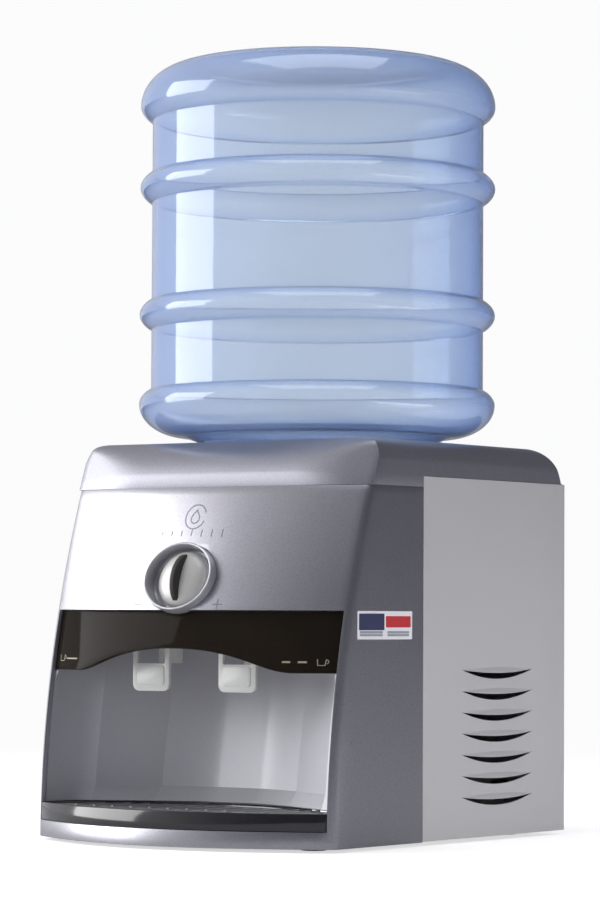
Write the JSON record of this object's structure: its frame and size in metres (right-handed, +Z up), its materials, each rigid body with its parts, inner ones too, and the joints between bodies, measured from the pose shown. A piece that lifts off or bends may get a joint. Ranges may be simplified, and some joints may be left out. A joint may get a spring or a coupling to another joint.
{
  "type": "countertop water dispenser",
  "caption": "Countertop cold-water dispenser: bowed front with lift-press taps in an alcove, thermostat knob, drip tray, louvred sides and an inverted bottle on top.",
  "frame": {"origin": "on the surface it stands on, under the middle of its overall box", "axes": "+Z up, the front faces -Y, +X to the right seen from the front"},
  "size_m": [0.27, 0.3536, 0.5845],
  "materials": {
    "silver_plastic": "silver-grey moulded plastic, fine metallic flake, satin",
    "cover_plastic": "darker blue-grey moulded plastic, satin",
    "liner_plastic": "mid-grey moulded plastic, satin",
    "smoked_acrylic": "dark smoked transparent acrylic, polished",
    "gloss_black": "black moulded plastic, polished",
    "grille_plastic": "silver-grey moulded plastic, satin",
    "silver_sheet": "silver-painted sheet steel, satin",
    "zinc_sheet": "zinc-plated sheet steel",
    "blue_bottle": "clear blue blow-moulded polycarbonate",
    "white_plastic": "warm white moulded plastic, satin",
    "knob_silver": "warm silver moulded plastic, satin",
    "grip_grey": "dark warm grey moulded plastic",
    "food_plastic": "off-white food-grade moulded plastic",
    "steel": "stainless steel, satin",
    "silicone": "translucent white silicone",
    "foam": "expanded bead foam",
    "aluminium": "extruded aluminium, plain",
    "ceramic": "white ceramic wafer",
    "dark_plastic": "black moulded plastic",
    "black_rubber": "black rubber, matte",
    "board": "green circuit board laminate",
    "screw_zinc": "zinc-plated screw steel"
  },
  "bodies": {
    "chassis": {"front_moulding": "silver_plastic", "alcove_liner": "liner_plastic", "smoked_band": "smoked_acrylic", "top_cover": "cover_plastic", "bottle_seat": "food_plastic", "water_tank": "steel", "tank_gasket": "silicone", "tank_baffle": "food_plastic", "tank_insulation": "foam", "cold_plate": "aluminium", "cooling_module": "ceramic", "heat_sink": "aluminium", "fan_frame": "dark_plastic", "side_panel_left": "silver_sheet", "side_panel_right": "silver_sheet", "back_panel": "zinc_sheet", "cable_gland": "black_rubber", "base_pan": "zinc_sheet", "power_board": "board", "transformer": "dark_plastic", "capacitor": "dark_plastic", "knob_well": "silver_plastic", "thermostat_switch": "dark_plastic", "tap_body_left": "white_plastic", "tap_body_right": "white_plastic", "tap_seal_left": "silicone", "tap_seal_right": "silicone", "tap_nut_left": "food_plastic", "tap_nut_right": "food_plastic", "tap_hose_left": "silicone", "tap_hose_right": "silicone", "tap_spring_left": "steel", "tap_spring_right": "steel", "drain_hose": "silicone", "drain_spout": "food_plastic", "foot_1": "black_rubber", "foot_2": "black_rubber", "foot_3": "black_rubber", "foot_4": "black_rubber", "back_screw_1": "screw_zinc", "back_screw_2": "screw_zinc", "back_screw_3": "screw_zinc", "back_screw_4": "screw_zinc"},
    "bottle_body": {"bottle": "blue_bottle"},
    "dial": {"dial_knob": "knob_silver", "dial_grip": "grip_grey", "thermostat_shaft": "steel"},
    "tray": {"drip_tray": "gloss_black"},
    "grille": {"drip_grille": "grille_plastic"},
    "lever_left": {"tap_lever_left": "white_plastic"},
    "lever_right": {"tap_lever_right": "white_plastic"},
    "stem_left": {"tap_stem_left": "food_plastic"},
    "stem_right": {"tap_stem_right": "food_plastic"},
    "fan": {"fan_rotor": "dark_plastic"},
    "plug": {"drain_plug": "black_rubber"}
  },
  "joints": [
    {"name": "bottle_lift", "type": "slide", "parent": "chassis", "child": "bottle_body", "axis": [0, 0, 1], "range_m": [0, 0.12]},
    {"name": "dial_turn", "type": "hinge", "parent": "chassis", "child": "dial", "pos_m": [0, -0.13357, 0.1925], "axis": [0, -0.9417, 0.3363], "range_deg": [-135, 135]},
    {"name": "tray_slide", "type": "slide", "parent": "chassis", "child": "tray", "axis": [0, -1, 0], "range_m": [0, 0.1]},
    {"name": "grille_lift", "type": "slide", "parent": "tray", "child": "grille", "axis": [0, 0, 1], "range_m": [0, 0.03]},
    {"name": "lever_left_press", "type": "hinge", "parent": "chassis", "child": "lever_left", "pos_m": [-0.039, -0.10975, 0.1585], "axis": [1, 0, 0], "range_deg": [0, 10], "stiffness_Nm_per_rad": 0.5},
    {"name": "lever_right_press", "type": "hinge", "parent": "chassis", "child": "lever_right", "pos_m": [0.039, -0.10975, 0.1585], "axis": [1, 0, 0], "range_deg": [0, 10], "stiffness_Nm_per_rad": 0.5},
    {"name": "stem_left_lift", "type": "slide", "parent": "chassis", "child": "stem_left", "axis": [0, 0, 1], "range_m": [0, 0.0036], "deforming": ["tap_spring_left"]},
    {"name": "stem_right_lift", "type": "slide", "parent": "chassis", "child": "stem_right", "axis": [0, 0, 1], "range_m": [0, 0.0036], "deforming": ["tap_spring_right"]},
    {"name": "fan_spin", "type": "hinge", "parent": "chassis", "child": "fan", "pos_m": [0, 0.155, 0.1057], "axis": [0, 1, 0], "continuous": true},
    {"name": "drain_plug_pull", "type": "slide", "parent": "chassis", "child": "plug", "axis": [0, 1, 0], "range_m": [0, 0.02]}
  ],
  "couplings": [
    {"joint": "stem_left_lift", "follows": "lever_left_press", "m_per_rad": 0.0205},
    {"joint": "stem_right_lift", "follows": "lever_right_press", "m_per_rad": 0.0205}
  ]
}
